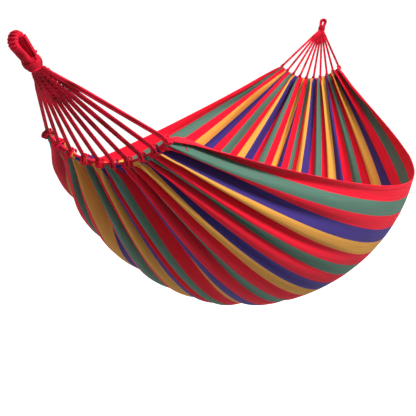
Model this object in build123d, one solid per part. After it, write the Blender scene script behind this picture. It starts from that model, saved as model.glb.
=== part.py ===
"""Gathered-end cloth hammock on two fans of cord, each ending in a wrapped eye.

Axes: X runs from the near hook to the far hook, Z is up, and the front long edge is on the -Y side.
The origin is where the near eye bears on its hook. The far end is the near end mirrored about the
middle of the span, apart from the way that its eye is turned.
"""

import os
from math import acos, asin, atan2, cos, degrees, hypot, pi, sin, sqrt

from build123d import *

# Span and hang
hook_span = 2630.0  # straight distance between the two hooks
hem_run = 294.0  # hook to end hem, measured level
hem_drop = 248.0  # hook to the lowest point of the end hem
hem_half_width = 132.0  # half the gathered width of an end hem
hem_sagitta = 57.0  # rise of the end hem from its middle to its corners

# Cloth bed
middle_sag = 650.0  # how far the middle of the bed hangs below the chord of its threads
rim_sag = 474.0  # the same for a long edge
rim_splay = 57.0  # degrees from straight down at which a long edge hangs away
splay_power = 1.24  # how the splay grows from the middle of the bed to its edges
sag_power = 1.53  # shape of the hanging curve along the bed
sag_rounding = 0.25  # how softly that curve turns at mid span
cloth_thickness = 2.4
side_hem_width = 15.0
side_hem_thickness = 3.4
bed_sections = 15
points_across = 17

# End hem, header rope and hitches
end_hem_diameter = 14.0
end_hem_bore = 6.6
header_rope_diameter = 5.0
cord_count = 10
strand_diameter = 4.5
corner_inset = 5.0  # from the end of a hem to its outermost hitch, along the hem

# Eye, neck and plait, measured from the hook along the line of pull
eye_leg_thickness = 13.0  # in the plane of the loop
eye_leg_width = 18.0  # square to the loop
eye_wrap_thickness = 2.5
eye_opening = 8.0
eye_length = 44.0  # bearing point to the end of the legs
ridge_bead_diameter = 4.4
collar_diameter = 30.0
collar_length = 23.0
collar_round = 5.0
neck_knot_diameter = 9.0
fan_apex = 50.0  # where the lines of the cords meet, inside the collar
plait_thickness = 9.0
plait_top = 26.0  # apex to the first row of the plait, along the line of pull
plait_shoulder = 78.0  # apex to where the outermost cords leave the plait
plait_tip = 112.0  # apex to the last row, at the middle cords
plait_tip_share = 0.12  # share of the fan's spread that the last row still covers
near_eye_turn = -90.0  # turn of each eye about the line of pull
far_eye_turn = 0.0

# Corner tacks
tack_length = 26.0
tack_width = 4.0
tack_thickness = 1.0
tack_inset = 42.0  # from the end hem, along the bed
tack_place = 0.93  # share of the way from the middle of the bed to its long edge

# Clearances
lie_gap = 0.3  # between soft pieces that lie against each other
turn_gap = 0.4  # between an eye's legs and its collar
leg_trim = 1.0  # off the slanting ends of the legs, to cut them square
hang_gap = 0.5  # between each cord and its hitch
hang_clearance = 4.0  # from the outermost hitch to the surface that the cords turn on

# Worked out from the sizes above
hem_radius = (hem_half_width**2 + hem_sagitta**2) / (2 * hem_sagitta)
hem_angle = asin(hem_half_width / hem_radius)
hem_centre_z = hem_radius - hem_drop
pull_length = hypot(hem_run, hem_drop)
pull = Vector(hem_run, 0, -hem_drop) / pull_length
pull_normal = Vector(hem_drop, 0, hem_run) / pull_length
apex = pull * fan_apex
cord_diameter = strand_diameter * sqrt(2)  # one round tube with the section of the two strands
ring_radius = end_hem_diameter / 2 + lie_gap + strand_diameter / 2
hang_pivot_z = hem_sagitta / 2 - hem_drop
hang_radius = hem_sagitta / 2 + ring_radius + strand_diameter / 2 + hang_clearance
collar_end = eye_length + turn_gap + collar_length


def hem_point(angle):
    """The point of the end hem's centre line at an angle from its lowest point."""
    return Vector(hem_run, hem_radius * sin(angle), hem_centre_z - hem_radius * cos(angle))


def bed_point(s, t):
    """A point of the cloth: s runs from the near hem to the far hem, t from the front edge to the back."""
    start = hem_point(t * hem_angle)

    def bow(v):
        return (v * v + sag_rounding**2) ** (sag_power / 2)

    depth = (bow(1) - bow(2 * s - 1)) / (bow(1) - bow(0))
    sag = middle_sag + (rim_sag - middle_sag) * t * t
    splay = (rim_splay * pi / 180) * abs(t) ** splay_power * (1 if t > 0 else -1)
    x = hem_run + (hook_span - 2 * hem_run) * s
    return Vector(x, start.Y + depth * sag * sin(splay), start.Z - depth * sag * cos(splay))


def bed_frame(s, t):
    """Place, tangent across the bed and upward normal of the cloth, all in the plane of one section."""
    step = 1e-3
    tangent = (bed_point(s, t + step) - bed_point(s, t - step)).normalized()
    return bed_point(s, t), tangent, Vector(1, 0, 0).cross(tangent)


def section_places():
    """Shares of the bed's length at which it is cut into sections, closer together near the hems."""
    first = (end_hem_diameter / 2 + lie_gap) / (hook_span - 2 * hem_run)
    steps = bed_sections - 1
    return [first + (1 - 2 * first) * (1 - cos(pi * k / steps)) / 2 for k in range(bed_sections)]


def bed_section(s):
    """One closed section of the cloth, with its outer face on the hanging surface."""
    outer, inner = [], []
    for k in range(points_across):
        place, _, normal = bed_frame(s, 2 * k / (points_across - 1) - 1)
        outer.append(place)
        inner.append(place + normal * cloth_thickness)
    inner.reverse()
    edges = [
        Edge.make_spline(outer),
        Edge.make_line(outer[-1], inner[0]),
        Edge.make_spline(inner),
        Edge.make_line(inner[-1], outer[0]),
    ]
    return Wire(edges)


def side_hem_section(s, side):
    """One section of the folded hem beyond the cloth's long edge."""
    place, tangent, normal = bed_frame(s, side)
    outward = tangent * side
    low = place + normal * (cloth_thickness - side_hem_thickness) / 2
    start, end = low + outward * lie_gap, low + outward * side_hem_width
    rise = normal * side_hem_thickness
    return Wire.make_polygon([start, end, end + rise, start + rise], close=True)


def bed_cloth():
    """The cloth between its hems, pierced where each hitch passes through it."""
    cloth = Solid.make_loft([bed_section(s) for s in section_places()])
    near_slits = [hitch_ring(i, strand_diameter / 2 + lie_gap) for i in range(cord_count)]
    return (cloth - near_slits - [far(slit) for slit in near_slits]).solid()


def side_hem(side):
    return Solid.make_loft([side_hem_section(s, side) for s in section_places()])


def hem_sweep(sketch_radius, bore=0.0, trim=0.0):
    """A round bar or tube bent along the near end hem, shortened at each end by an angle."""
    start = Plane(hem_point(trim - hem_angle), x_dir=(1, 0, 0), z_dir=(0, cos(hem_angle), -sin(hem_angle)))
    profile = start * Circle(sketch_radius)
    if bore:
        profile -= start * Circle(bore)
    axis = Axis((hem_run, 0, hem_centre_z), (1, 0, 0))
    return revolve(profile, axis=axis, revolution_arc=degrees(2 * (hem_angle - trim)))


def end_hem():
    return hem_sweep(end_hem_diameter / 2, end_hem_bore / 2)


def header_rope():
    return hem_sweep(header_rope_diameter / 2)


def hitch_angle(i):
    """Where hitch i stands on the end hem, as an angle from the hem's lowest point."""
    outermost = hem_angle - corner_inset / hem_radius
    return outermost * (2 * i / (cord_count - 1) - 1)


def hang_drum(radius):
    """A drum about the line that the cords hang from, wider than the fan."""
    place = Plane((hem_run, 0, hang_pivot_z), z_dir=(0, 1, 0))
    return place * Cylinder(radius, 4 * hem_half_width)


def cord_tube(start, end):
    """A straight round tube between two points."""
    line = end - start
    place = Plane(start, z_dir=line)
    return place * Cylinder(cord_diameter / 2, line.length, align=(Align.CENTER, Align.CENTER, Align.MIN))


def cord(i):
    """Doubled cord i from the plait to the surface that the cords turn on at the end hem."""
    angle = hitch_angle(i)
    reach = hem_point(angle) - apex
    spread = abs(angle) / hem_angle
    inner_spread = plait_tip_share
    along = max(0.0, (spread - inner_spread) / (1 - inner_spread))
    edge = plait_tip + (plait_shoulder - plait_tip) * along
    clear = cord_diameter / 2 + lie_gap
    start = apex + reach * ((edge + clear) / (pull_length - fan_apex))
    return cord_tube(start, hem_point(angle)) - hang_drum(hang_radius + hang_gap)


def hitch_ring(i, thickness):
    """A ring round the end hem at hitch i."""
    angle = hitch_angle(i)
    place = Plane(hem_point(angle), z_dir=(0, cos(angle), sin(angle)))
    return place * Torus(ring_radius, thickness)


def hitch(i):
    """The bight of cord i round the end hem, with the end of the doubled cord above it."""
    centre = hem_point(hitch_angle(i))
    towards = (apex - centre).normalized()
    stub = cord_tube(centre + towards * ring_radius, apex) & hang_drum(hang_radius)
    return (hitch_ring(i, strand_diameter / 2) + stub).solid()


def hitches():
    return Compound([hitch(i) for i in range(cord_count)])


def plait_section(distance, share):
    """One section of the plait: a strip that follows the fan, at a distance from the apex."""
    scale = distance / (pull_length - fan_apex)
    centre = apex + (Vector(hem_run, 0, hem_centre_z) - apex) * scale
    middle = hem_radius * scale
    spread = hem_angle * share
    half = plait_thickness / 2

    def at(radius, angle):
        return centre + Vector(0, radius * sin(angle), -radius * cos(angle))

    inner, outer = middle - half, middle + half
    edges = [
        ThreePointArc(at(outer, -spread), at(outer, 0), at(outer, spread)),
        Line(at(outer, spread), at(inner, spread)),
        ThreePointArc(at(inner, spread), at(inner, 0), at(inner, -spread)),
        Line(at(inner, -spread), at(outer, -spread)),
    ]
    return Wire([piece.edge() for piece in edges])


def plait():
    """The woven mat that gathers the cords below the collar, widest at its shoulder."""
    rows = [(plait_top, 1.0), (plait_shoulder, 1.0), (plait_tip, plait_tip_share)]
    mat = Solid.make_loft([plait_section(*row) for row in rows], True)
    collar_face = Plane(pull * (collar_end + lie_gap), z_dir=pull)
    above = collar_face * Cylinder(
        2 * collar_diameter, 2 * collar_length, align=(Align.CENTER, Align.CENTER, Align.MAX)
    )
    return (mat - above).solid()


def pull_plane(distance, turn=0.0):
    """A plane across the line of pull; its X axis lies along -Y before it is turned about that line."""
    across = Vector(0, -1, 0).rotate(Axis((0, 0, 0), pull), turn)
    return Plane(pull * distance, x_dir=across, z_dir=pull)


def collar():
    """The seizing that binds the eye's legs and the fan together."""
    body = pull_plane(eye_length + turn_gap) * Cylinder(
        collar_diameter / 2, collar_length, align=(Align.CENTER, Align.CENTER, Align.MIN)
    )
    return fillet(body.edges(), collar_round)


def neck_knot():
    """The stopper knot of the seizing's tail, on the upper side of the collar."""
    middle = eye_length + turn_gap + collar_length * 0.4
    place = pull * middle + pull_normal * (collar_diameter / 2 + neck_knot_diameter / 2 - 0.8)
    knot = Pos(place) * Sphere(neck_knot_diameter / 2)
    binding = pull_plane(0) * Cylinder(collar_diameter / 2 + lie_gap, 4 * collar_end)
    return (knot - binding).solid()


def eye_side(turn):
    """The direction square to the eye's loop."""
    plane = pull_plane(0, turn)
    return plane.z_dir.cross(plane.x_dir)


def eye_path(turn):
    """Centre line of the eye: a round bight over the hook and two legs that close on the collar."""
    bight = (eye_opening + eye_leg_thickness) / 2
    centre = eye_opening / 2
    leg_end = (eye_leg_thickness + lie_gap) / 2
    reach = hypot(eye_length - centre, leg_end)
    touch = atan2(leg_end, eye_length - centre) + acos(bight / reach)
    plane = pull_plane(0, turn)

    def at(across, along):
        return plane.from_local_coords(Vector(across, 0, along))

    across, along = bight * sin(touch), centre + bight * cos(touch)
    leg = Edge.make_line(at(leg_end, eye_length), at(across, along))
    bend = Edge.make_three_point_arc(at(across, along), at(0, centre - bight), at(-across, along))
    other = Edge.make_line(at(-across, along), at(-leg_end, eye_length))
    return Wire([leg, bend, other])


def eye_tube(turn, inset, bore_inset=None):
    """An oval bar or sleeve along the eye, within its outside by an inset, cut square at the collar."""
    path = eye_path(turn)
    start = Plane(path @ 0, x_dir=eye_side(turn), z_dir=path % 0)

    def oval(depth):
        return start * Ellipse(eye_leg_width / 2 - depth, eye_leg_thickness / 2 - depth)

    profile = oval(inset)
    if bore_inset:
        profile -= oval(bore_inset)
    tube = sweep(profile, path=path)
    end_face = pull_plane(eye_length - leg_trim)
    beyond = end_face * Cylinder(
        2 * collar_diameter, collar_length, align=(Align.CENTER, Align.CENTER, Align.MIN)
    )
    return (tube - beyond).solid()


def eye_core(turn):
    return eye_tube(turn, eye_wrap_thickness)


def eye_wrap(turn):
    return eye_tube(turn, 0.0, eye_wrap_thickness - lie_gap)


def eye_ridge(turn):
    """The row of half-hitch knots along the outer side of one leg."""
    path = eye_path(turn)
    bead = ridge_bead_diameter / 2
    offset = eye_side(turn) * (eye_leg_width / 2 + bead + lie_gap)
    leg_length = path.edges()[0].length
    steps = int((leg_length - 2 * bead) / (1.5 * bead))
    beads = Sphere(bead).moved(Location(path @ 0 + (path % 0) * (2 * bead) + offset))
    for k in range(1, steps):
        beads += Sphere(bead).moved(Location(path @ 0 + (path % 0) * (2 * bead + 1.5 * bead * k) + offset))
    return beads.solid()


def corner_tacks():
    """The bar tack beside each corner, on the outer face of the cloth."""
    share = tack_inset / (hook_span - 2 * hem_run)
    tacks = []
    for s in (share, 1 - share):
        for t in (-tack_place, tack_place):
            place, tangent, normal = bed_frame(s, t)
            along = bed_point(s + 1e-3, t) - bed_point(s - 1e-3, t)
            face = tangent.cross(along).normalized()
            face = face if face.dot(normal) < 0 else -face
            plane = Plane(place + face * (lie_gap + tack_thickness / 2), x_dir=tangent, z_dir=face)
            tacks.append(plane * Box(tack_length, tack_width, tack_thickness))
    return Compound(tacks)


def far(shape):
    """The same piece at the far end."""
    return shape.mirror(Plane.YZ.offset(hook_span / 2))


def build_nodes():
    """Every node of the hammock, by name."""
    nodes = {
        "bed_cloth": bed_cloth(),
        "front_side_hem": side_hem(-1),
        "back_side_hem": side_hem(1),
        "corner_bar_tacks": corner_tacks(),
    }
    near = {
        "end_hem": end_hem(),
        "header_rope": header_rope(),
        "cord_hitches": hitches(),
        "plait": plait(),
        "neck_seizing": collar(),
        "neck_knot": neck_knot(),
    }
    for i in range(cord_count):
        near[f"cord_{i + 1:02d}"] = cord(i)
    for name, shape in near.items():
        nodes[f"near_{name}"] = shape
        nodes[f"far_{name}"] = far(shape)
    for end, turn in (("near", near_eye_turn), ("far", far_eye_turn)):
        for name, make in (("core", eye_core), ("wrap", eye_wrap), ("ridge", eye_ridge)):
            shape = make(turn)
            nodes[f"{end}_eye_{name}"] = shape if end == "near" else far(shape)
    return nodes


if __name__ == "__main__":
    os.makedirs("parts", exist_ok=True)
    for name, shape in build_nodes().items():
        export_step(shape, f"parts/{name}.step")
    print(f"line of pull {degrees(atan2(hem_drop, hem_run)):.1f} degrees below level")
    print(f"cords {pull_length - fan_apex - plait_tip:.0f} to {pull_length - fan_apex - plait_shoulder:.0f} mm clear")
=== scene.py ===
"""Looks of a gathered-end striped cloth hammock: canvas bed, hems, cord fans, plaits, collars and eyes.

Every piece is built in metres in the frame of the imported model, from the same driving sizes as that model.
"""

import logging
import math
from dataclasses import dataclass, field
from enum import Enum

import bmesh
import bpy
import numpy as np
from mathutils import Matrix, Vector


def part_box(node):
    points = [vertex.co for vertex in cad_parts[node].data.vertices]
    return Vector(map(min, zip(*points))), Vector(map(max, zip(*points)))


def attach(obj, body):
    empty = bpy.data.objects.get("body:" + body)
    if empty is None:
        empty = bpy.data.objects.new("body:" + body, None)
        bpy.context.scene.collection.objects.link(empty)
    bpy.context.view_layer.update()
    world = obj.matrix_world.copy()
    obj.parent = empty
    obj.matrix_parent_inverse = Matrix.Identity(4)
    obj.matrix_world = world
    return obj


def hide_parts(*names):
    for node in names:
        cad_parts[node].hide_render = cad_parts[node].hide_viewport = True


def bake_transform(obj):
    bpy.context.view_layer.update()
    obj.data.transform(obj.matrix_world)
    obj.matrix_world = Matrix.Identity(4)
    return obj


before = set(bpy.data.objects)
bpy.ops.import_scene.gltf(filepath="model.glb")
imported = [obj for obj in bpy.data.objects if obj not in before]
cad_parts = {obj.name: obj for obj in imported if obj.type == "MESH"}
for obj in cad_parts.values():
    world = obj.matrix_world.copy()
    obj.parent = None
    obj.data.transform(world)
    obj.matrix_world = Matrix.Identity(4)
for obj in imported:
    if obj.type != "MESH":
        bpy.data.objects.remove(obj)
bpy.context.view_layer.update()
log = logging.getLogger("hammock")
Array = np.ndarray
MILLI = 1e-3
YARNS = 3  # yarns laid together in every cord


# ---------------------------------------------------------------- small maths


def unit(vectors: Array) -> Array:
    """Vectors scaled to length one along their last axis."""
    return vectors / np.maximum(np.linalg.norm(vectors, axis=-1, keepdims=True), 1e-12)


def run_length(path: Array) -> Array:
    """Length along a path, (n, 3), at each of its points."""
    return np.concatenate([[0.0], np.cumsum(np.linalg.norm(np.diff(path, axis=0), axis=-1))])


def ring_of(angle: Array, first: Array, second: Array) -> Array:
    """Unit vectors at angles round a line, cos(angle) first + sin(angle) second."""
    return np.cos(angle)[..., None] * first + np.sin(angle)[..., None] * second


def ease(values: Array, start: float, end: float) -> Array:
    """Smooth step: 0 before start, 1 after end, and 3v^2 - 2v^3 between them."""
    v = np.clip((np.asarray(values, float) - start) / (end - start), 0, 1)
    return v * v * (3 - 2 * v)


def linear_colour(code: str) -> tuple[float, float, float, float]:
    """An sRGB hex colour as linear light.

    Args:
        code: six hex digits, with or without a leading sign.

    Returns:
        Red, green, blue and an alpha of one, for a shader's socket.
    """
    digits = code.lstrip("#")
    shares = [int(digits[i : i + 2], 16) / 255 for i in (0, 2, 4)]
    light = [c / 12.92 if c <= 0.04045 else ((c + 0.055) / 1.055) ** 2.4 for c in shares]
    return (*light, 1.0)


@dataclass(frozen=True)
class Ripple:
    """A seeded sum of sine waves over two coordinates, for the unevenness of hand-made things."""

    seed: int
    wavelengths: tuple[float, float]
    waves: int = 5

    def at(self, u: Array, v: Array) -> Array:
        """Height of the sum, about -1 to 1.

        Args:
            u: first coordinate, in metres.
            v: second coordinate, in metres.

        Returns:
            The sum of sin(2 pi (f u + g v) + phase) over the waves, divided by the root of their number.
        """
        rng = np.random.default_rng(self.seed)
        total = np.zeros(np.broadcast(u, v).shape)
        for _ in range(self.waves):
            f = rng.uniform(0.5, 1.4) / self.wavelengths[0]
            g = rng.uniform(-1.2, 1.2) / self.wavelengths[1]
            total = total + np.sin(2 * np.pi * (f * u + g * v) + rng.uniform(0, 2 * np.pi))
        return total / math.sqrt(self.waves)


# ---------------------------------------------------------------- the hammock's own shape


class End(Enum):
    """The two ends of the hammock; the far one is the near one mirrored across the middle."""

    NEAR = "near"
    FAR = "far"

    @property
    def hand(self) -> Array:
        """Factors that turn a direction made for the near end into this end's."""
        return np.array([-1.0 if self is End.FAR else 1.0, 1.0, 1.0])


@dataclass(frozen=True)
class Form:
    """Driving sizes of the hanging hammock, in metres and radians, and the surfaces they give."""

    hook_span: float = 2.630
    hem_run: float = 0.294
    hem_drop: float = 0.248
    hem_half_width: float = 0.132
    hem_sagitta: float = 0.057
    middle_sag: float = 0.650
    rim_sag: float = 0.474
    rim_splay: float = math.radians(57)
    splay_power: float = 1.24
    sag_power: float = 1.53
    sag_rounding: float = 0.25
    cloth_width: float = 1.485
    cord_count: int = 10
    corner_inset: float = 0.005
    fan_apex: float = 0.050
    swing_centre: tuple[float, float, float] = (0.294, 0.0, -0.2195)

    @property
    def hem_radius(self) -> float:
        """Radius of the arc that the end hem hangs in."""
        return (self.hem_half_width**2 + self.hem_sagitta**2) / (2 * self.hem_sagitta)

    @property
    def bed_run(self) -> float:
        """Level distance from one end hem to the other."""
        return self.hook_span - 2 * self.hem_run

    @property
    def hem_angle(self) -> float:
        """Angle from the hem's lowest point to its corner."""
        return math.asin(self.hem_half_width / self.hem_radius)

    @property
    def pull(self) -> Array:
        """Unit line from the near eye down to the middle of its hem."""
        return unit(np.array([self.hem_run, 0.0, -self.hem_drop]))

    @property
    def pull_normal(self) -> Array:
        """Unit vector square to the pull, upwards, in the middle plane."""
        return unit(np.array([self.hem_drop, 0.0, self.hem_run]))

    @property
    def apex(self) -> Array:
        """The point that the near cords fan out from."""
        return self.pull * self.fan_apex

    @property
    def fan_length(self) -> float:
        """Distance from the apex to the hem along the pull."""
        return math.hypot(self.hem_run, self.hem_drop) - self.fan_apex

    def hem_point(self, angle: Array) -> Array:
        """Points of the near end hem's centre line: a circle's arc in the plane x = hem_run."""
        a = np.asarray(angle, float)
        low = self.hem_radius - self.hem_drop
        return np.stack(
            [self.hem_run + 0 * a, self.hem_radius * np.sin(a), low - self.hem_radius * np.cos(a)], -1
        )

    def hitch_angles(self) -> Array:
        """Angles of the hitches on the end hem, evenly spaced."""
        outermost = self.hem_angle - self.corner_inset / self.hem_radius
        return outermost * np.linspace(-1, 1, self.cord_count)

    def hitch_pitch(self) -> float:
        """Cloth width between two hitches."""
        return self.cloth_width * (self.hitch_angles()[1] - self.hitch_angles()[0]) / (2 * self.hem_angle)

    def hitch_phase(self, width: Array) -> Array:
        """Turns from one hitch to the next at a distance across the cloth, 0 at every hitch."""
        first = self.cloth_width * (1 + self.hitch_angles()[0] / self.hem_angle) / 2
        return 2 * np.pi * (np.asarray(width) - first) / self.hitch_pitch()

    def bed_point(self, s: Array, t: Array) -> Array:
        """Points of the smooth hanging surface.

        Each line from hem to hem is a bow, depth = ((v^2 + r^2)^(p/2) at the hem less the same at v) with v
        from -1 to 1, and it hangs in a plane that leans outward more towards the long edges.

        Args:
            s: 0 at the near hem, 1 at the far hem.
            t: -1 at the front edge, 1 at the back edge.

        Returns:
            Points in the row frame, with a last axis of three.
        """
        s, t = np.broadcast_arrays(np.asarray(s, float), np.asarray(t, float))
        start = self.hem_point(t * self.hem_angle)
        ends, lowest, here = (
            (v * v + self.sag_rounding**2) ** (self.sag_power / 2) for v in (1.0, 0.0, 2 * s - 1)
        )
        depth = (ends - here) / (ends - lowest)
        sag = self.middle_sag + (self.rim_sag - self.middle_sag) * t * t
        splay = self.rim_splay * np.abs(t) ** self.splay_power * np.sign(t)
        x = self.hem_run + self.bed_run * s
        return np.stack(
            [x, start[..., 1] + depth * sag * np.sin(splay), start[..., 2] - depth * sag * np.cos(splay)], -1
        )

    def placed(self, points: Array, end: End) -> Array:
        """Points made for the near end, mirrored to the far end where asked."""
        if end is End.NEAR:
            return points
        return points * end.hand + np.array([self.hook_span, 0.0, 0.0])


FORM = Form()


# ---------------------------------------------------------------- meshes from grids


@dataclass
class Patch:
    """A grid of points with its pattern coordinates, open or closed round its second direction.

    points has the shape (rows, columns, 3). along and across are the pattern's coordinates of the rows and
    the columns, or full grids of them. A wrapped patch has one more value in across than it has columns.
    """

    points: Array
    along: Array
    across: Array
    wrapped: bool = False
    capped: bool = False
    flipped: bool = False

    def faces(self, first: int) -> tuple[Array, Array, list[list[int]]]:
        """Quads of the grid, their pattern coordinates and the flat caps of a tube.

        Args:
            first: index of the patch's first vertex in the whole mesh.

        Returns:
            Quads (n, 4), pattern coordinates (n, 4, 2) and a list of cap polygons.
        """
        rows, columns = self.points.shape[:2]
        steps = columns if self.wrapped else columns - 1
        i, j = np.meshgrid(np.arange(rows - 1), np.arange(steps), indexing="ij")
        i, j = i.ravel(), j.ravel()
        corners = [(i, j), (i + 1, j), (i + 1, j + 1), (i, j + 1)]
        if self.flipped:
            corners.reverse()
        quads = np.stack([first + a * columns + b % columns for a, b in corners], -1)
        along, across = np.asarray(self.along), np.asarray(self.across)
        along = along[:, None] if along.ndim == 1 else along
        across = across[None, :] if across.ndim == 1 else across
        shape = (rows, steps + 1)
        along, across = np.broadcast_to(along, shape), np.broadcast_to(across, shape)
        coords = np.stack([np.stack([across[a, b], along[a, b]], -1) for a, b in corners], 1)
        caps = []
        if self.capped:
            low = [first + k for k in range(columns)]
            high = [first + (rows - 1) * columns + k for k in reversed(range(columns))]
            caps = [low, high] if not self.flipped else [low[::-1], high[::-1]]
        return quads, coords, caps


def mesh_object(name: str, patches: list[Patch]) -> bpy.types.Object:
    """One smooth-shaded object from any number of patches, with a UV map in metres.

    Args:
        name: name of the piece.
        patches: the grids that make it up.

    Returns:
        The linked object, at the origin.
    """
    points, quads, coords, caps, first = [], [], [], [], 0
    for patch in patches:
        q, c, cap = patch.faces(first)
        points.append(patch.points.reshape(-1, 3))
        quads.append(q)
        coords.append(c)
        caps += cap
        first += points[-1].shape[0]
    quads, coords = np.concatenate(quads), np.concatenate(coords)
    mesh = bpy.data.meshes.new(name)
    mesh.from_pydata(np.concatenate(points).tolist(), [], quads.tolist() + caps)
    layer = mesh.uv_layers.new(name="UVMap")
    flat = np.zeros((len(mesh.loops), 2), np.float32)
    flat[: coords.size // 2] = coords.reshape(-1, 2)
    layer.data.foreach_set("uv", flat.ravel())
    mesh.polygons.foreach_set("use_smooth", np.ones(len(mesh.polygons), bool))
    mesh.update()
    piece = bpy.data.objects.new(name, mesh)
    bpy.context.scene.collection.objects.link(piece)
    return piece


def tube(
    path: Array,
    side: Array,
    radius: float,
    lobes: float = 0.0,
    twist: float = 0.014,
    facets: int = 10,
) -> Patch:
    """A round or laid cord carried along a path.

    At each point of the path the section's radius is radius (1 + lobes cos(3 (angle - turn))), and turn grows
    by one full turn over each length of twist, as the three yarns of a laid cord do.

    Args:
        path: points of the centre line, (n, 3).
        side: a direction at each point that is never along the path, (n, 3) or (3,).
        radius: radius of the cord.
        lobes: depth of the grooves between the yarns, as a share of the radius.
        twist: length of one full turn of the lay.
        facets: points round the section.

    Returns:
        A closed patch whose UV is the share of a turn across and the length along.
    """
    tangent = unit(np.gradient(path, axis=0))
    side = np.broadcast_to(side, path.shape)
    first = unit(side - (side * tangent).sum(-1, keepdims=True) * tangent)
    second = np.cross(tangent, first)
    length = run_length(path)
    angle = np.arange(facets) * 2 * np.pi / facets
    turn = 2 * np.pi * length[:, None] / twist
    reach = radius * (1 + lobes * np.cos(YARNS * (angle[None, :] - turn)))
    points = path[:, None] + reach[..., None] * ring_of(angle, first[:, None], second[:, None])
    across = np.arange(facets + 1) / facets
    return Patch(points, length, across, wrapped=True, capped=True, flipped=True)


def smooth_path(knots: Array, count: int) -> Array:
    """A smooth line through knots, by Catmull-Rom blending of each run with its neighbours.

    Args:
        knots: points to pass through, (n, 3).
        count: points in the result.

    Returns:
        Points evenly spaced in the line's parameter, (count, 3).
    """
    padded = np.concatenate([[2 * knots[0] - knots[1]], knots, [2 * knots[-1] - knots[-2]]])
    u = np.linspace(0, len(knots) - 1 - 1e-9, count)
    k = u.astype(int)
    v = (u - k)[:, None]
    a, b, c, d = (padded[k + i] for i in range(4))
    return 0.5 * (2 * b + (c - a) * v + (2 * a - 5 * b + 4 * c - d) * v**2 + (3 * b - a - 3 * c + d) * v**3)


def dressed(piece: bpy.types.Object, finish: bpy.types.Material, node: str) -> None:
    """Gives a piece its finish, hides the model's node that it stands for and logs its face count.

    Args:
        piece: the finished mesh.
        finish: its material.
        node: the model's node that it stands for.
    """
    piece.data.materials.append(finish)
    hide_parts(node)
    log.info("%s: %d faces", piece.name, len(piece.data.polygons))


def settled(
    name: str, patches: list[Patch], finish: bpy.types.Material, node: str, body: str
) -> bpy.types.Object:
    """Makes a piece that moves with one body.

    Args:
        name: name of the piece.
        patches: the grids that make it up.
        finish: its material.
        node: the model's node that it stands for.
        body: the body that it rides on.

    Returns:
        The piece.
    """
    piece = mesh_object(name, patches)
    dressed(piece, finish, node)
    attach(piece, body)
    return piece


# ---------------------------------------------------------------- finishes


class Graph:
    """A material's node graph, ready for nodes to be added."""

    def __init__(self, name: str) -> None:
        """Starts an empty graph with its output node."""
        self.material = bpy.data.materials.new(name)
        self.material.use_nodes = True
        self.tree = self.material.node_tree
        self.tree.nodes.clear()
        self.output = self.add("ShaderNodeOutputMaterial")

    def add(self, kind: str, inputs: dict | None = None, **settings: object) -> bpy.types.Node:
        """Adds a node with its settings, values and links.

        Args:
            kind: the node's type name.
            inputs: a value, or an output socket to link, for each named or numbered input.
            settings: attributes of the node.

        Returns:
            The new node.
        """
        node = self.tree.nodes.new(kind)
        for key, value in settings.items():
            setattr(node, key, value)
        for key, value in (inputs or {}).items():
            if isinstance(value, bpy.types.NodeSocket):
                self.tree.links.new(value, node.inputs[key])
            else:
                node.inputs[key].default_value = value
        return node

    def finish(self, shader: bpy.types.Node) -> bpy.types.Material:
        """Links the shader to the output and gives the material."""
        self.tree.links.new(shader.outputs[0], self.output.inputs["Surface"])
        return self.material


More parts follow.
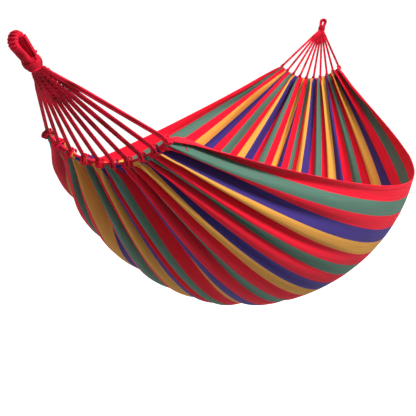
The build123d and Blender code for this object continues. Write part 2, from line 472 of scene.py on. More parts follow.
@dataclass(frozen=True)
class StripedCanvas:
    """Plain-woven cotton canvas in woven stripes: matt, with slubby warp streaks and a faint cross weave."""

    stripe: float = 0.045
    colours: tuple[str, ...] = ("EE1230", "4C7D6C", "EE1230", "40307C", "E9A648")
    fleck: str = "8C3A44"
    slub: float = 0.0016
    thread: float = 0.0022  # real threads are about 0.7 mm apart; drawn coarser so that the weave shows

    def material(self, name: str = "striped_cotton_canvas") -> bpy.types.Material:
        """Builds the canvas.

        The stripe number is the width over five stripes, and its fraction picks one of five constant colours.

        Args:
            name: name of the material.

        Returns:
            The material, patterned by the piece's UV map in metres.
        """
        g = Graph(name)
        place = g.add("ShaderNodeUVMap", uv_map="UVMap").outputs[0]
        split = g.add("ShaderNodeSeparateXYZ", {0: place})
        share = g.add(
            "ShaderNodeMath", {0: split.outputs[0], 1: 1 / (5 * self.stripe)}, operation="MULTIPLY"
        )
        part = g.add("ShaderNodeMath", {0: share.outputs[0]}, operation="FRACT")
        ramp = g.add("ShaderNodeValToRGB", {0: part.outputs[0]})
        stops = ramp.color_ramp
        stops.interpolation = "CONSTANT"
        while len(stops.elements) < 5:
            stops.elements.new(0.5)
        for k, code in enumerate(self.colours):
            stops.elements[k].position = k / 5
            stops.elements[k].color = linear_colour(code)
        streak_place = g.add("ShaderNodeMapping", {0: place, 3: (1 / self.slub, 6.0, 1.0)})
        streak = g.add("ShaderNodeTexNoise", {"Vector": streak_place.outputs[0], "Scale": 1.0, "Detail": 3.0})
        depth = g.add(
            "ShaderNodeMapRange", {0: streak.outputs[0], 1: 0.3, 2: 0.7, 3: 0.80, 4: 1.12}
        )
        streaked = g.add(
            "ShaderNodeMix", {0: 1.0, 6: ramp.outputs[0], 7: depth.outputs[0]}, data_type="RGBA",
            blend_type="MULTIPLY",
        )
        green = g.add("ShaderNodeMath", {0: part.outputs[0], 1: 0.3, 2: 0.1}, operation="COMPARE")
        fleck_place = g.add("ShaderNodeMapping", {0: place, 3: (700.0, 160.0, 1.0)})
        fleck = g.add("ShaderNodeTexNoise", {"Vector": fleck_place.outputs[0], "Scale": 1.0, "Detail": 1.0})
        strong = g.add("ShaderNodeMapRange", {0: fleck.outputs[0], 1: 0.52, 2: 0.75, 3: 0.0, 4: 0.75})
        amount = g.add("ShaderNodeMath", {0: strong.outputs[0], 1: green.outputs[0]}, operation="MULTIPLY")
        mixed = g.add(
            "ShaderNodeMix", {0: amount.outputs[0], 6: streaked.outputs[2], 7: linear_colour(self.fleck)},
            data_type="RGBA",
        )
        weave_place = g.add("ShaderNodeMapping", {0: place, 3: (1 / self.thread, 1 / self.thread, 1.0)})
        weave = g.add("ShaderNodeTexChecker", {0: weave_place.outputs[0], 3: 2.0})
        height = g.add("ShaderNodeMath", {0: streak.outputs[0], 1: weave.outputs[1]}, operation="ADD")
        bump = g.add("ShaderNodeBump", {"Height": height.outputs[0], "Strength": 0.35, "Distance": 0.0004})
        shader = g.add(
            "ShaderNodeBsdfPrincipled",
            {
                "Base Color": mixed.outputs[2],
                "Normal": bump.outputs[0],
                "Roughness": 0.86,
                "IOR": 1.5,
                "Specular IOR Level": 0.12,
                "Sheen Weight": 0.02,
                "Sheen Roughness": 0.5,
            },
        )
        return g.finish(shader)


@dataclass(frozen=True)
class LaidCotton:
    """Dyed cotton cord, three yarns laid together: soft fibres, mixed by noise with a darker painted shade
    for the grooves.
    """

    colour: str = "E60F36"
    # painted shade: a darker red that noise mixes into the cord's colour, standing for the shade between the
    # yarns
    shade: str = "8E0414"
    fibre: float = 0.0012

    def material(self, name: str = "laid_cotton_cord") -> bpy.types.Material:
        """Builds the cord: fibres run slantwise over the yarns, and noise mixes their colour with the darker
        painted shade.

        Args:
            name: name of the material.

        Returns:
            The material, patterned by the cord's UV map, a share of a turn across and metres along.
        """
        g = Graph(name)
        place = g.add("ShaderNodeUVMap", uv_map="UVMap").outputs[0]
        slant = g.add("ShaderNodeMapping", {0: place, 2: (0.0, 0.0, 0.35), 3: (9.0, 1 / self.fibre, 1.0)})
        fibre = g.add("ShaderNodeTexNoise", {"Vector": slant.outputs[0], "Scale": 1.0, "Detail": 2.0})
        spot = g.add("ShaderNodeTexCoord").outputs["Object"]
        drift = g.add("ShaderNodeTexNoise", {"Vector": spot, "Scale": 35.0, "Detail": 1.0})
        mean = g.add("ShaderNodeMath", {0: fibre.outputs[0], 1: drift.outputs[0]}, operation="ADD")
        share = g.add("ShaderNodeMapRange", {0: mean.outputs[0], 1: 0.75, 2: 1.2, 3: 0.0, 4: 1.0})
        # painted shade: the darker colour is mixed in wherever the fibre and drift noise runs low
        colour = g.add(
            "ShaderNodeMix",
            {0: share.outputs[0], 6: linear_colour(self.shade), 7: linear_colour(self.colour)},
            data_type="RGBA",
        )
        bump = g.add("ShaderNodeBump", {"Height": fibre.outputs[0], "Strength": 0.5, "Distance": 0.0003})
        shader = g.add(
            "ShaderNodeBsdfPrincipled",
            {
                "Base Color": colour.outputs[2],
                "Normal": bump.outputs[0],
                "Roughness": 0.72,
                "IOR": 1.5,
                "Specular IOR Level": 0.12,
                "Sheen Weight": 0.01,
                "Sheen Roughness": 0.5,
            },
        )
        return g.finish(shader)


@dataclass(frozen=True)
class PaleFloor:
    """Plain matt studio paint with a glow of its own, so that the sweep reads as white."""

    colour: str = "FBFBFA"
    glow: float = 0.7

    def material(self) -> bpy.types.Material:
        """Builds the sweep's paint."""
        g = Graph("plain_pale_paint")
        shader = g.add(
            "ShaderNodeBsdfPrincipled",
            {
                "Base Color": linear_colour(self.colour),
                "Roughness": 0.9,
                "Emission Color": linear_colour(self.colour),
                "Emission Strength": self.glow,
            },
        )
        return g.finish(shader)


@dataclass
class Finishes:
    """The finishes in use, each made once."""

    canvas: bpy.types.Material = field(default_factory=lambda: StripedCanvas().material())
    # the second colour of each cord finish is its painted shade
    cord: bpy.types.Material = field(default_factory=lambda: LaidCotton().material())
    header: bpy.types.Material = field(
        default_factory=lambda: LaidCotton("DB1C3C", "B00F2A").material("braided_cotton_cord")
    )
    thread: bpy.types.Material = field(
        default_factory=lambda: LaidCotton("C8283C", "3A1418", 0.0006).material("stitching_thread")
    )


# ---------------------------------------------------------------- the bed


@dataclass
class Bed:
    """The striped canvas with its hems, header ropes and corner tacks."""

    finishes: Finishes
    columns: int = 400
    rows: int = 120
    half_thickness: float = 0.0006
    ruches_per_hitch: int = 6
    scallop: float = 0.008
    hem_width: float = 0.015
    hem_half: float = 0.0015
    hem_lap: float = 0.002
    deepest_fold: float = 0.024
    deepest_pleat: float = 0.006
    deepest_ruche: float = 0.0050
    pleat_share: float = 0.10
    fold_reach: float = 0.60
    droop: float = 0.30
    crowding: float = 0.6
    sunken: float = 0.68
    breadth: float = 0.22
    hush: float = 0.62
    tack_inset: float = 0.046
    tack_drop: float = 0.042
    tack_length: float = 0.026
    tack_width: float = 0.004
    tack_stitches: int = 13
    tack_thread: float = 0.0005
    near_crests: tuple[float, ...] = (
        -0.024, 0.088, 0.200, 0.268, 0.345, 0.425, 0.490, 0.575,
        0.762, 0.818, 0.903, 0.980, 1.138, 1.232, 1.400, 1.580,
    )  # fmt: skip
    far_crests: tuple[float, ...] = (
        -0.050, 0.060, 0.178, 0.252, 0.335, 0.408, 0.475, 0.565,
        0.742, 0.872, 1.035, 1.155, 1.290, 1.431, 1.541, 1.650,
    )  # fmt: skip

    def gathered(self, s: Array, w: Array) -> Array:
        """Points of the folded cloth.

        The hanging surface is narrower than the cloth by the ratio g. A wave of slope m takes up a share of
        that: g^2 - 1 = m^2 / 2. It is split between ruches at the hem, long folds further down, and a few
        pleats of half the folds' size. The folds' outward crests stand at listed places across the cloth, a
        list for each end, and the two lists blend over the middle of the bed. Each wave's height is
        m wavelength / (2 pi g), up to a limit, times cos(a) - breadth cos(2 a) - sunken: the crests are
        broad, and sinking the folds keeps them near the smooth surface. Folds die away as
        1 / (1 + (distance / fold_reach)^2) from the hem, and start hushed near the back edge. The waves lie
        along the surface's normal, tipped upwards by droop away from the long edges, so that each fold sags
        over the one below. Between hitches the cloth also hangs a little below its rope.

        Args:
            s: share of the bed's length, 0 at the near hem.
            w: distance across the cloth from its front edge, in metres.

        Returns:
            Points in the row frame.
        """
        s, w = np.broadcast_arrays(np.asarray(s, float), np.asarray(w, float))
        t = self.crowded(w, np.minimum(s, 1 - s) * FORM.bed_run)
        step = 1e-4
        inside = np.clip(s, step, 1 - step)
        place = FORM.bed_point(s, t)
        lengthwise = unit(FORM.bed_point(inside + step, t) - FORM.bed_point(inside - step, t))
        sideways = (FORM.bed_point(s, t + step) - FORM.bed_point(s, t - step)) / (2 * step)
        normal = unit(np.cross(lengthwise, sideways))
        g = np.maximum(FORM.cloth_width / (2 * np.linalg.norm(sideways, axis=-1)), 1.0)
        from_near = np.linalg.norm(place - FORM.bed_point(0 * s, t), axis=-1)
        from_far = np.linalg.norm(place - FORM.bed_point(0 * s + 1, t), axis=-1)
        down = np.minimum(from_near, from_far)
        which = np.where(from_near < from_far, 1.0, -1.0)
        signed = which * down
        drift = Ripple(3, (0.31, 0.9)).at(w, signed)
        mixed = ease(s, 0.35, 0.65)
        fold_phase, fold_wave = 0.25 * drift * ease(down, 0.05, 0.4), 0.0
        for crests, share in ((self.near_crests, 1 - mixed), (self.far_crests, mixed)):
            fold_phase = fold_phase + share * 2 * np.pi * np.interp(w, crests, np.arange(len(crests)))
            fold_wave = fold_wave + share * np.interp(w, crests, np.gradient(crests))
        excess = np.maximum(g * g - 1, 0.0)
        hushed = self.hush * ease(w, 0.95, 1.25) * (1 - ease(down, 0.08, 0.26))
        distant = 1 + (down / self.fold_reach) ** 2
        fade = (1 - hushed) / distant
        ruche = 1 - ease(down, 0.0, 0.075)
        fold = ease(down, 0.004, 0.08)
        pleat = self.pleat_share * fold * (1 - ease(down, 0.10, 0.40))
        pleat_phase = 2 * fold_phase + 1.6 + 0.8 * drift
        phase = FORM.hitch_phase(w)
        ruche_wave = FORM.hitch_pitch() / self.ruches_per_hitch
        ruche_phase = self.ruches_per_hitch * phase + 1.1 * Ripple(8, (0.12, 0.2)).at(w, signed)
        unevenness = 1 + 0.2 * Ripple(11, (0.23, 1.5)).at(w, signed)
        waves = (
            (fold - pleat, fold_wave, fold_phase, self.deepest_fold, fade, self.sunken),
            (pleat, fold_wave / 2, pleat_phase, self.deepest_pleat, fade, 0.0),
            (ruche, ruche_wave, ruche_phase, self.deepest_ruche, 1.0, 0.0),
        )
        height = np.zeros(s.shape)
        broad = self.breadth * (1 - mixed + mixed * np.tanh((FORM.cloth_width / 2 - w) / 0.12))
        for share, wavelength, turn, limit, left, sunken in waves:
            slope = np.sqrt(2 * share * excess)
            rise = np.minimum(slope * wavelength / (2 * np.pi * g), limit)
            wave = np.cos(turn) - broad * np.cos(2 * turn) - sunken
            height = height - rise * unevenness * left * wave
        up = np.array([0.0, 0.0, 1.0])
        edge = ease(np.minimum(w, FORM.cloth_width - w), 0.03, 0.14)
        droop = self.droop * edge * ease(down, 0.01, 0.10) / distant
        direction = unit(normal * (1 - droop)[..., None] + up * droop[..., None])
        swag = self.scallop * (1 - np.cos(phase)) / 2 * (1 - ease(down, 0.0, 0.09))
        return place + direction * height[..., None] + lengthwise * (which * swag)[..., None]

    def crowded(self, w: Array, from_hem: Array) -> Array:
        """Place across the hanging surface, -1 to 1, of the cloth at a width.

        At the hems the cloth crowds up under each hitch: the even place is moved towards the nearest hitch by
        a sine of the turns between hitches. Further down it evens out.

        Args:
            w: distance across the cloth from its front edge, in metres.
            from_hem: distance along the bed from the nearer hem.

        Returns:
            Places with the shape of the two together.
        """
        share = self.crowding * (1 - ease(from_hem, 0.0, 0.16))
        shift = share * FORM.hitch_pitch() * np.sin(FORM.hitch_phase(w)) / (2 * np.pi)
        return 2 * (w - shift) / FORM.cloth_width - 1

    def lengths(self) -> Array:
        """Shares of the bed's length for the cloth's rows, closer together near the hems."""
        q = np.linspace(0, 1, self.rows)
        return q - 0.85 * np.sin(2 * np.pi * q) / (2 * np.pi)

    def cloth(self) -> bpy.types.Object:
        """The canvas as a thin closed shell: the folded surface moved half its thickness each way.

        Returns:
            The piece.
        """
        s = self.lengths()
        w = np.linspace(0, FORM.cloth_width, self.columns)
        middle = self.gathered(s[:, None], w[None, :])
        normal = unit(np.cross(np.gradient(middle, axis=0), np.gradient(middle, axis=1)))
        top, under = (middle + side * self.half_thickness * normal for side in (1, -1))
        steps = np.linalg.norm(np.diff(middle[:, ::20], axis=0), axis=-1).mean(1)
        along = np.concatenate([[0], np.cumsum(steps)])
        patches = [Patch(top, along, w), Patch(under, along, w, flipped=True)]
        for k, turned in ((0, False), (-1, True)):
            patches.append(Patch(np.stack([under[k], top[k]]), along[[k, k]], w, flipped=turned))
            patches.append(
                Patch(np.stack([under[:, k], top[:, k]], 1), along, w[[k, k]], flipped=turned)
            )
        piece = mesh_object("bed_canvas", patches)
        merge_close(piece)
        dressed(piece, self.finishes.canvas, "bed_cloth")
        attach(piece, "bed")
        return piece

    def side_hem(self, side: str) -> bpy.types.Object:
        """The canvas folded over along one long edge: a flat loop 3 mm thick round the cloth's edge.

        Args:
            side: front or back.

        Returns:
            The piece.
        """
        front = side == "front"
        s = self.lengths()
        edge, inner = (0.0, 0.02) if front else (FORM.cloth_width, FORM.cloth_width - 0.02)
        rim, inside = self.gathered(s, edge), self.gathered(s, inner)
        outward = unit(rim - inside)
        forward = unit(np.gradient(rim, axis=0))
        normal = unit(np.cross(forward, outward)) * (-1 if front else 1)
        angle = np.linspace(0, 2 * np.pi, 24, endpoint=False)
        reach = self.hem_width / 2 * np.sign(np.cos(angle)) * np.abs(np.cos(angle)) ** 0.35
        rise = self.hem_half * np.sign(np.sin(angle)) * np.abs(np.sin(angle)) ** 0.8
        wobble = 1 + 0.12 * Ripple(21, (0.05, 1.0)).at(np.cumsum(np.full(len(s), 0.02)), 0 * s)
        centre = rim - outward * (self.hem_width / 2 - self.hem_lap)
        points = (
            centre[:, None]
            + outward[:, None] * reach[None, :, None]
            + normal[:, None] * (rise[None, :] * wobble[:, None])[..., None]
        )
        along = run_length(rim)
        across = np.linspace(0.004, 0.036, 25)
        patch = Patch(points, along, across, wrapped=True, capped=True, flipped=front)
        canvas, node = self.finishes.canvas, f"{side}_side_hem"
        return settled(f"{node}_fold", [patch], canvas, node, "bed")

    def hem_line(self, w: Array) -> tuple[Array, Array, Array]:
        """Centre line of the near end hem across the cloth.

        Args:
            w: distances across the cloth.

        Returns:
            Points, unit lines down the cloth and unit lines across it.
        """
        t = self.crowded(w, np.zeros(np.shape(w)))
        place = FORM.hem_point(t * FORM.hem_angle)
        down = unit(FORM.bed_point(2e-3, t) - FORM.bed_point(1e-3, t))
        across = unit(FORM.hem_point(t * FORM.hem_angle + 1e-3) - FORM.hem_point(t * FORM.hem_angle - 1e-3))
        return place, down, across

    def end_hem(self, end: End) -> bpy.types.Object:
        """The channel bunched on its rope: a ruched sleeve, fat under each hitch and slack between them.

        The radius is a mean that follows the hitches plus a wave for each ruche, and between hitches the
        sleeve hangs below its rope.

        Args:
            end: which end.

        Returns:
            The piece.
        """
        w = np.linspace(0, FORM.cloth_width, 560)
        place, down, across = self.hem_line(w)
        close = ((1 + np.cos(FORM.hitch_phase(w))) / 2) ** 1.3
        out = np.cross(across, down)
        angle = np.linspace(0, 2 * np.pi, 20, endpoint=False)
        uneven = Ripple(31 if end is End.NEAR else 37, (0.06, 1.0))
        ruche = np.cos(self.ruches_per_hitch * 1.5 * FORM.hitch_phase(w) + 1.8 * uneven.at(w, 0 * w))
        mean = 0.0054 + 0.0020 * close
        reach = mean[:, None] + (0.0009 + 0.0006 * close)[:, None] * (
            ruche[:, None] * (0.7 + 0.3 * np.cos(angle - 0.6)[None, :])
        )
        reach = reach + 0.0007 * uneven.at(w[:, None] * 2, 0.2 * np.sin(angle)[None, :])
        centre = place + down * (0.0035 + 0.0035 * (1 - close))[:, None]
        points = centre[:, None] + reach[..., None] * ring_of(angle, down[:, None], out[:, None])
        points = FORM.placed(points, end)
        across_uv = np.linspace(0, 0.04, 21)
        patch = Patch(points, w, across_uv, wrapped=True, capped=True, flipped=end is End.FAR)
        piece = mesh_object(f"{end.value}_end_hem_ruched", [patch])
        swap_uv(piece)
        dressed(piece, self.finishes.canvas, f"{end.value}_end_hem")
        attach(piece, "bed")
        return piece

    def header_rope(self, end: End) -> bpy.types.Object:
        """The rope through the channel: a laid cord along the hem's arc, a little longer than it.

        Args:
            end: which end.

        Returns:
            The piece.
        """
        angle = np.linspace(-1.0, 1.0, 220) * FORM.hem_angle
        path = FORM.placed(FORM.hem_point(angle), end)
        patch = tube(path, np.array([1.0, 0, 0]), 0.0025, lobes=0.08, twist=0.012)
        name, node = f"{end.value}_header_cord", f"{end.value}_header_rope"
        return settled(name, [patch], self.finishes.header, node, "bed")

    def tacks(self) -> None:
        """The bar tacks: close zigzag stitches on the cloth beside each corner."""
        patches = []
        u = np.linspace(0, 1, 240)
        for far_end in (False, True):
            for back in (False, True):
                w = self.tack_inset + self.tack_length * u
                w = FORM.cloth_width - w if back else w
                zigzag = np.abs((u * 2 * self.tack_stitches) % 2 - 1) - 0.5
                s = (self.tack_drop + self.tack_width * zigzag) / FORM.bed_run
                s = 1 - s if far_end else s
                for side in (-1, 1):
                    spot = self.gathered(s, w)
                    near = self.gathered(s, w + 1e-3)
                    ahead = self.gathered(s + 1e-4, w)
                    normal = unit(np.cross(ahead - spot, near - spot))
                    path = spot + normal * side * (self.half_thickness + 0.0003)
                    patches.append(tube(path, normal, self.tack_thread, facets=6))
        thread = self.finishes.thread
        settled("corner_bar_tack_stitches", patches, thread, "corner_bar_tacks", "bed")

    def build(self) -> None:
        canvas = self.cloth()
        trims = [self.side_hem("front"), self.side_hem("back"), *(self.end_hem(end) for end in End)]
        self.tacks()
        ropes = [self.header_rope(end) for end in End]


def swap_uv(piece: bpy.types.Object) -> None:
    """Exchanges the two coordinates of a piece's UV map."""
    layer = piece.data.uv_layers["UVMap"].data
    flat = np.zeros(len(layer) * 2, np.float32)
    layer.foreach_get("uv", flat)
    layer.foreach_set("uv", flat.reshape(-1, 2)[:, ::-1].ravel())


def merge_close(piece: bpy.types.Object, distance: float = 1e-6) -> None:
    """Joins vertices that lie in the same place, so that a shell's strips share their edges."""
    shell = bmesh.new()
    shell.from_mesh(piece.data)
    bmesh.ops.remove_doubles(shell, verts=shell.verts, dist=distance)
    shell.to_mesh(piece.data)
    shell.free()


# ---------------------------------------------------------------- the harness


@dataclass
class Harness:
    """The cords, hitches, plait, collar and knot of one end."""

    end: End
    finishes: Finishes
    strand: float = 0.00235
    spacing: float = 0.00245
    lobes: float = 0.10
    twist: float = 0.013
    plait_tip: float = 0.112
    plait_shoulder: float = 0.040
    plait_top: float = 0.017
    tip_share: float = 0.12
    weft_radius: float = 0.0019
    weft_rows: int = 19
    collar_start: float = 0.0444
    collar_length: float = 0.023
    collar_radius: float = 0.015
    collar_turns: float = 5.0
    collar_turn_radius: float = 0.0024
    band_reach: float = 0.0142
    band_slant: float = 0.0072
    band_radius: float = 0.0017
    hitch_radius: float = 0.0021
    hitch_ring: float = 0.0093
    knot_radius: float = 0.0014
    layer_height: float = 0.0024
    warp_height: float = 0.0012
    weft_height: float = 0.0027
    rail_height: float = 0.0018

    def place(self, points: Array) -> Array:
        """Near-end points moved to this end."""
        return FORM.placed(points, self.end)

    def laid(self, path: Array, side: Array, radius: float, facets: int) -> Patch:
        """A laid cord of this harness along a path made for the near end.

        Args:
            path: points of the centre line, (n, 3).
            side: a direction that is never along the path, (n, 3) or (3,).
            radius: radius of the cord.
            facets: points round the section.

        Returns:
            The cord at this end.
        """
        return tube(self.place(path), side * self.end.hand, radius, self.lobes, self.twist, facets)

    def settle(self, node: str, ending: str, patches: list[Patch], body: str = "") -> None:
        """Makes a piece of cord that moves with this harness, or with another body.

        Args:
            node: the model's node that it stands for, without its end.
            ending: what the piece's name adds to the node's.
            patches: the grids that make it up.
            body: another body to ride on.
        """
        name = f"{self.end.value}_{node}"
        body = body or f"{self.end.value}_harness"
        settled(f"{name}_{ending}", patches, self.finishes.cord, name, body)

    def mat_share(self, scale: Array) -> Array:
        """Share of the fan that the plait covers at a scale of the fan, full above the shoulder."""
        top, tip = self.plait_shoulder / FORM.fan_length, self.plait_tip / FORM.fan_length
        return 1 + (self.tip_share - 1) * np.clip((scale - top) / (tip - top), 0, 1)

    def fan_point(self, scale: Array, angle: Array) -> Array:
        """Points of the fan: the hem's arc shrunk towards the apex by a scale."""
        return FORM.apex + (FORM.hem_point(angle) - FORM.apex) * np.asarray(scale)[..., None]

    def fan_normal(self, angle: Array) -> Array:
        """Unit normals of the fan, upwards."""
        along = unit(FORM.hem_point(angle) - FORM.apex)
        return unit(np.cross(along, self.arc_line(angle)))

    def arc_line(self, angle: Array) -> Array:
        """Unit lines along the hem's arc towards the back."""
        a = np.asarray(angle, float)
        return np.stack([0 * a, np.cos(a), np.sin(a)], -1)

    def cord(self, index: int) -> None:
        """One doubled cord from the collar through the plait to its hitch.

        Both strands follow one line of the fan. Inside the plait they rise and dip by turns between the weft
        rows; past it they run straight, side by side.

        Args:
            index: 0 at the front.
        """
        angle = FORM.hitch_angles()[index]
        ring = self.hitch_ring / FORM.fan_length
        scale = np.linspace(0.045, 1 - ring, 190)
        line = self.fan_point(scale, np.full(len(scale), angle))
        normal, sideways = self.fan_normal(angle), self.arc_line(angle)
        leaves = self.plait_shoulder / FORM.fan_length + (
            (self.plait_tip - self.plait_shoulder) / FORM.fan_length
        ) * (1 - max(0.0, (abs(angle) / FORM.hem_angle - self.tip_share) / (1 - self.tip_share)))
        inside = 1 - ease(scale, leaves - 0.02, leaves + 0.05)
        rows = np.cos(np.pi * (scale / self.row_step() + index))
        layer = self.layer_height * (1 - ease(scale, 0.20, 0.36)) * (1 if index % 2 else -1)
        lift = self.warp_height * inside * rows * ease(scale, 0.05, 0.15) + layer
        spread = self.spacing * (0.45 + 0.55 * ease(scale, 0.06, 0.30))
        patches = []
        for side in (-1, 1):
            path = line + normal * lift[:, None] + sideways * (side * spread)[:, None]
            patches.append(self.laid(path, normal, self.strand, 12))
        name = f"{self.end.value}_cord_{index + 1:02d}"
        piece = mesh_object(f"{name}_strands", patches)
        dressed(piece, self.finishes.cord, name)
        hinge = np.array(FORM.swing_centre)
        start, finish = self.place(hinge), self.place(hinge - FORM.pull * 0.10)
        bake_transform(piece)

    def row_step(self) -> float:
        """Step of the fan's scale from one weft row to the next."""
        return (self.plait_tip - self.plait_top) / FORM.fan_length / self.weft_rows

    def hitches(self) -> None:
        """The bights: each strand comes down in front of the hem, goes round it and back under a cross turn.

        The knots of one bight are in millimetres: across the cord, up it and out from the cloth.
        """
        down = np.array(
            [
                [-2.3, 16, 0.5], [-2.3, 10, 5.5], [-2.5, 2, 9.6], [-3.0, -7, 6.8], [-3.3, -9.4, -1],
                [-3.4, -3, -9], [-3.4, 6, -7.6], [-3.6, 10.2, 0.5], [-3.9, 8.6, 7.6], [-2.2, 5.6, 11.6],
            ]
        )  # fmt: skip
        knots = np.concatenate([down, [[0, 4.6, 12.6]], down[::-1] * [-1, 1, 1]]) * MILLI
        local = smooth_path(knots, 190)
        patches = []
        for index, angle in enumerate(FORM.hitch_angles()):
            centre = FORM.hem_point(angle)
            across, up = self.arc_line(angle), unit(FORM.apex - centre)
            out = np.cross(across, up)
            if out @ np.array([-1.0, 0.0, -1.0]) < 0:
                out = -out
            axes = np.stack([across, up, out])
            snug = 1 + 0.05 * math.sin(2.3 * index)
            path = centre + (local * [1, snug, snug]) @ axes
            radial = (local * [0.0, 1, 1] + [0, 0, 0.4 * MILLI]) @ axes
            patches.append(self.laid(path, radial, self.hitch_radius, 9))
        self.settle("cord_hitches", "laid", patches, "bed")

    def plait(self) -> None:
        """The weft of the plait: one cord that goes from side to side, over and under the fan's cords.

        Across, the line is a rounded triangle wave of the mat's width. Its height is a cosine of the number
        of the cord it crosses, and turns over with each row.
        """
        count = self.weft_rows * 90
        row = np.linspace(0, self.weft_rows, count)
        slanted = row + 0.22 * np.sin(2 * np.pi * row) / (2 * np.pi)
        scale = self.plait_top / FORM.fan_length + self.row_step() * slanted
        swing = np.arcsin(0.985 * np.cos(np.pi * row)) / np.arcsin(0.985)
        angle = swing * FORM.hem_angle * self.mat_share(scale) * 1.03
        number = (angle / FORM.hitch_angles()[-1] + 1) * (FORM.cord_count - 1) / 2
        lift = self.weft_height * np.cos(np.pi * (number + np.round(row - 0.5))) * ease(scale, 0.03, 0.12)
        turn = 1 - np.abs(swing) ** 12
        path = self.fan_point(scale, angle) + self.fan_normal(angle) * (lift * turn)[:, None]
        edge = []
        for side in (-1, 1):
            reach = np.linspace(0.07, self.plait_shoulder / FORM.fan_length, 60)
            wave = 2 * np.pi * reach / (1.5 * self.row_step())
            rail = self.fan_point(reach, np.full(60, side * FORM.hem_angle * 1.02))
            rail_normal = self.fan_normal(np.array(side * FORM.hem_angle))
            rail = rail + rail_normal * (self.rail_height * np.cos(wave))[:, None]
            edge.append(self.laid(rail, rail_normal, self.strand, 9))
        weft = self.laid(path, self.fan_normal(angle), self.weft_radius, 8)
        self.settle("plait", "weft", [weft, *edge])

    def collar(self) -> None:
        """The seizing: a helix of cord round a barrel, with two slanting turns drawn over it."""
        ahead, side, up = FORM.pull, np.array([0.0, -1.0, 0.0]), FORM.pull_normal
        z = np.linspace(0, 1, 26)
        barrel = (self.collar_radius - 0.0030) * np.clip(np.sin(np.pi * (0.06 + 0.88 * z)), 0, 1) ** 0.22
        angle = np.linspace(0, 2 * np.pi, 40, endpoint=False)
        along = self.collar_start + 0.0006 + (self.collar_length - 0.0012) * z
        core = along[:, None, None] * ahead + barrel[:, None, None] * ring_of(angle, side, up)[None]
        far, across = self.end is End.FAR, np.arange(41) / 40
        drum = Patch(self.place(core), along, across, wrapped=True, capped=True, flipped=far)
        thick = self.collar_turn_radius
        u = np.linspace(0, 1, 320)
        reach = (self.collar_radius - thick) * (0.90 + 0.10 * np.sin(np.pi * u))
        line = self.collar_start + thick + (self.collar_length - 2 * thick) * u
        radial = ring_of(2 * np.pi * self.collar_turns * u, side, up)
        helix = line[:, None] * ahead + reach[:, None] * radial
        patches = [drum, self.laid(helix, radial, thick, 10)]
        a = np.linspace(0, 2 * np.pi, 120)
        radial = ring_of(a, side, up)
        for start in (0.4, 0.4 + np.pi):
            middle = self.collar_start + self.collar_length * 0.5 + self.band_slant * np.cos(a + start)
            band = middle[:, None] * ahead + self.band_reach * radial
            patches.append(self.laid(band, radial, self.band_radius, 9))
        self.settle("neck_seizing", "turns", patches)

    def knot(self) -> None:
        """The tail's overhand knot: the trefoil (sin a + 2 sin 2a, cos a - 2 cos 2a, -sin 3a), made small."""
        low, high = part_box(f"{self.end.value}_neck_knot")
        centre = (np.array(low) + np.array(high)) / 2
        a = np.linspace(0, 2 * np.pi, 120)
        shape = np.stack([np.sin(a) + 2 * np.sin(2 * a), np.cos(a) - 2 * np.cos(2 * a), -np.sin(3 * a)], -1)
        path = centre + shape * 0.00105
        side = np.array([0.3, 0.2, 1.0])
        patch = tube(path, side, self.knot_radius, self.lobes, self.twist, facets=9)
        self.settle("neck_knot", "tied", [patch])

    def build(self) -> None:
        """Builds every piece of the harness."""
        for index in range(FORM.cord_count):
            self.cord(index)
        self.hitches()
        self.plait()
        self.collar()
        self.knot()


# ---------------------------------------------------------------- the eye


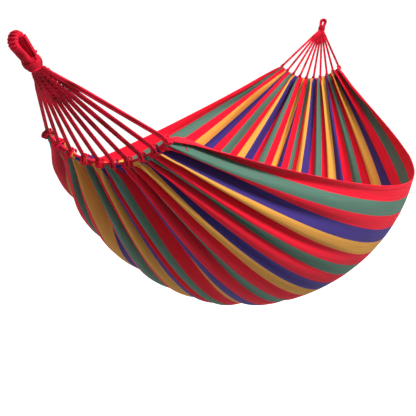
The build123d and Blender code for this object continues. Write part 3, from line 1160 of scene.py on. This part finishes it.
@dataclass
class Eye:
    """The wrapped loop that goes on the hook, at one end."""

    end: End
    finishes: Finishes
    turn: float
    leg_radius: float = 0.0065
    leg_half_width: float = 0.0090
    opening: float = 0.008
    length: float = 0.044
    pitch: float = 0.0045
    wrap_radius: float = 0.0019
    core_radius: float = 0.0037
    core_spacing: float = 0.0045
    chain_radius: float = 0.0015

    def laid(
        self, path: Array, side: Array, radius: float, facets: int, lobes: float = 0.06, twist: float = 0.009
    ) -> Patch:
        """A laid cord of this eye along a path made for the near end.

        Args:
            path: points of the centre line, (n, 3).
            side: a direction at each point that is never along the path, (n, 3).
            radius: radius of the cord.
            facets: points round the section.
            lobes: depth of the grooves between the yarns, as a share of the radius.
            twist: length of one full turn of the lay.

        Returns:
            The cord at this end.
        """
        return tube(FORM.placed(path, self.end), side * self.end.hand, radius, lobes, twist, facets)

    def axes(self) -> Array:
        """Rows: across the loop, square to the loop, and along the pull."""
        c, s = math.cos(self.turn), math.sin(self.turn)
        back = np.array([0.0, 1.0, 0.0])
        return np.stack([-c * back - s * FORM.pull_normal, s * back - c * FORM.pull_normal, FORM.pull])

    def loop(self, count: int, overlap: float = 0.0) -> tuple[Array, Array, Array]:
        """The loop's centre line: a leg, a round bight over the hook and the other leg.

        Args:
            count: points in the result.
            overlap: how far the legs run on past the end of the eye.

        Returns:
            Points (n, 3) and two unit vectors square to the line at each, in the loop's plane and out of it.
        """
        bend = self.opening / 2 + self.leg_radius
        centre, foot = self.opening / 2, self.leg_radius + 0.00015
        reach = math.hypot(self.length - centre, foot)
        touch = math.atan2(foot, self.length - centre) + math.acos(bend / reach)
        corner = np.array([bend * math.sin(touch), centre + bend * math.cos(touch)])
        lead = np.array([foot, self.length]) - corner
        leg = np.hypot(*lead) + overlap
        arc = 2 * (math.pi - touch) * bend
        d = np.linspace(0, 2 * leg + arc, count)
        slope = unit(lead)
        on_arc = np.clip(d - leg, 0, arc)
        angle = touch + on_arc / bend
        first = corner + slope * np.maximum(leg - d, 0)[:, None]
        last = corner * [-1, 1] + slope * [-1, 1] * np.maximum(d - leg - arc, 0)[:, None]
        curve = np.stack([bend * np.sin(angle), centre + bend * np.cos(angle)], -1)
        flat = np.where((d < leg)[:, None], first, np.where((d > leg + arc)[:, None], last, curve))
        axes = self.axes()
        path = flat[:, :1] * axes[0] + flat[:, 1:] * axes[2]
        tangent = unit(np.gradient(path, axis=0))
        square = np.broadcast_to(axes[1], path.shape)
        return path, np.cross(square, tangent), square

    def build(self) -> None:
        """Builds the core, the half hitches round it and the chain of knots along one leg."""
        body = f"{self.end.value}_eye"
        path, _, square = self.loop(150, overlap=0.004)
        cords = [
            self.laid(path + square * offset, square, self.core_radius, 12, lobes=0.08, twist=0.02)
            for offset in (-self.core_spacing, 0.0, self.core_spacing)
        ]
        count = 2200
        path, inward, square = self.loop(count)
        length = run_length(path)
        a = 2 * np.pi * length / self.pitch
        radial = np.cos(a)[:, None] * inward + np.sin(a)[:, None] * square
        squeeze = 1 + 0.03 * np.sin(length / 0.0047)
        reach = np.cos(a)[:, None] * inward * (self.leg_radius - self.wrap_radius)
        reach = reach + np.sin(a)[:, None] * square * (self.leg_half_width - self.wrap_radius)
        helix = path + reach * squeeze[:, None]
        turns = [self.laid(helix, radial, self.wrap_radius, 8)]
        leg = int(count * 0.36)
        chain = []
        for phase in (0.0, math.pi):
            b = 2 * np.pi * length[:leg] / (1.6 * self.pitch) + phase
            line = path[:leg] + square[:leg] * (self.leg_half_width + 0.0012)
            weave = np.cos(b)[:, None] * inward[:leg] * 0.0022
            weave = weave + np.sin(2 * b)[:, None] * square[:leg] * 0.0007
            chain.append(self.laid(line + weave, square[:leg], self.chain_radius, 8))
        for name, made, node in (
            ("core_cords", cords, "core"),
            ("half_hitches", turns, "wrap"),
            ("hitch_chain", chain, "ridge"),
        ):
            settled(f"{body}_{name}", made, self.finishes.cord, f"{body}_{node}", body)


# ---------------------------------------------------------------- the studio


@dataclass(frozen=True)
class Softbox:
    """A square area light aimed at a point."""

    name: str
    place: tuple[float, float, float]
    aim: tuple[float, float, float]
    size: float
    power: float

    def build(self) -> None:
        """Adds the light."""
        data = bpy.data.lights.new(self.name, "AREA")
        data.size, data.energy = self.size, self.power
        light = bpy.data.objects.new(self.name, data)
        back = unit(np.array(self.place) - np.array(self.aim))
        light.matrix_world = looking(np.array(self.place), -back, np.array([0.0, 0.0, 1.0]))
        bpy.context.scene.collection.objects.link(light)


def looking(place: Array, ahead: Array, up: Array) -> Matrix:
    """A matrix that stands at a place, looks along its own -Z and keeps its Y towards up.

    Args:
        place: where it stands.
        ahead: unit line of sight.
        up: a direction for the top, not along the line of sight.

    Returns:
        The matrix, 4 by 4.
    """
    right = unit(np.cross(ahead, up))
    top = np.cross(right, ahead)
    matrix = np.eye(4)
    matrix[:3, 0], matrix[:3, 1], matrix[:3, 2], matrix[:3, 3] = right, top, -ahead, place
    return Matrix(matrix.tolist())


@dataclass(frozen=True)
class Studio:
    """The camera, the sweep and the lights."""

    eye: tuple[float, float, float] = (-1.0115, -0.6515, 0.0376)
    yaw: float = 1.2441
    pitch: float = -0.2548
    roll: float = -0.0040
    lens: float = 64.7
    floor: float = -1.75
    air: float = 0.32

    def camera(self) -> None:
        """Places the camera at the hammock's near end, beside and a little above the eye."""
        ahead = np.array(
            [
                math.sin(self.yaw) * math.cos(self.pitch),
                math.cos(self.yaw) * math.cos(self.pitch),
                math.sin(self.pitch),
            ]
        )
        right = np.array([math.cos(self.yaw), -math.sin(self.yaw), 0.0])
        up = np.cross(right, ahead)
        up = up * math.cos(self.roll) - right * math.sin(self.roll)
        data = bpy.data.cameras.new("camera")
        data.lens, data.sensor_width = self.lens, 36.0
        data.clip_start, data.clip_end = 0.05, 100.0
        camera = bpy.data.objects.new("camera", data)
        camera.matrix_world = looking(np.array(self.eye), ahead, up)
        bpy.context.scene.collection.objects.link(camera)
        bpy.context.scene.camera = camera

    def sweep(self) -> None:
        """A floor that curves up into walls all round, a flat disc whose rim rises as a quarter circle."""
        facets = 96
        angle = np.linspace(0, 2 * np.pi, facets, endpoint=False)
        bend = np.linspace(0, np.pi / 2, 16)
        reach = np.concatenate([[0.0, 3, 6], 9 + 3 * np.sin(bend), [12.0]])
        height = np.concatenate([[0, 0, 0], 3 * (1 - np.cos(bend)), [9.0]]) + self.floor
        ring = np.stack([np.cos(angle), np.sin(angle)], -1)
        points = np.concatenate(
            [
                reach[:, None, None] * ring[None] + [1.3, 0.0],
                np.broadcast_to(height[:, None, None], (len(reach), facets, 1)),
            ],
            -1,
        )
        across = np.arange(facets + 1) / facets
        floor = mesh_object("studio_sweep", [Patch(points, reach, across, wrapped=True)])
        merge_close(floor)
        floor.data.materials.append(PaleFloor().material())
        floor.visible_diffuse = False  # the sweep lights nothing, so the underside keeps its shade

    def build(self) -> None:
        """Builds the studio."""
        self.camera()
        self.sweep()
        for light in (
            Softbox("key", (-0.4, -3.3, 2.4), (1.2, 0.0, -0.4), 1.4, 240.0),
            Softbox("top", (1.8, -0.6, 3.2), (1.3, 0.0, -0.4), 2.0, 80.0),
            Softbox("fill", (-3.2, 1.0, 0.2), (1.0, 0.0, -0.4), 3.0, 8.0),
        ):
            light.build()
        world = bpy.data.worlds.new("studio_air")
        bpy.context.scene.world = world
        world.use_nodes = True
        shade = world.node_tree.nodes["Background"]
        shade.inputs[0].default_value = linear_colour("FFFFFF")
        shade.inputs[1].default_value = self.air
        bpy.context.scene.view_settings.view_transform = "Standard"


def main() -> None:
    """Builds the studio and the hammock."""
    logging.basicConfig(level=logging.INFO)
    Studio().build()
    finishes = Finishes()
    Bed(finishes).build()
    for end in End:
        Harness(end, finishes).build()
    Eye(End.NEAR, finishes, turn=math.radians(-90)).build()
    Eye(End.FAR, finishes, turn=0.0).build()


if __name__ == "__main__":
    main()
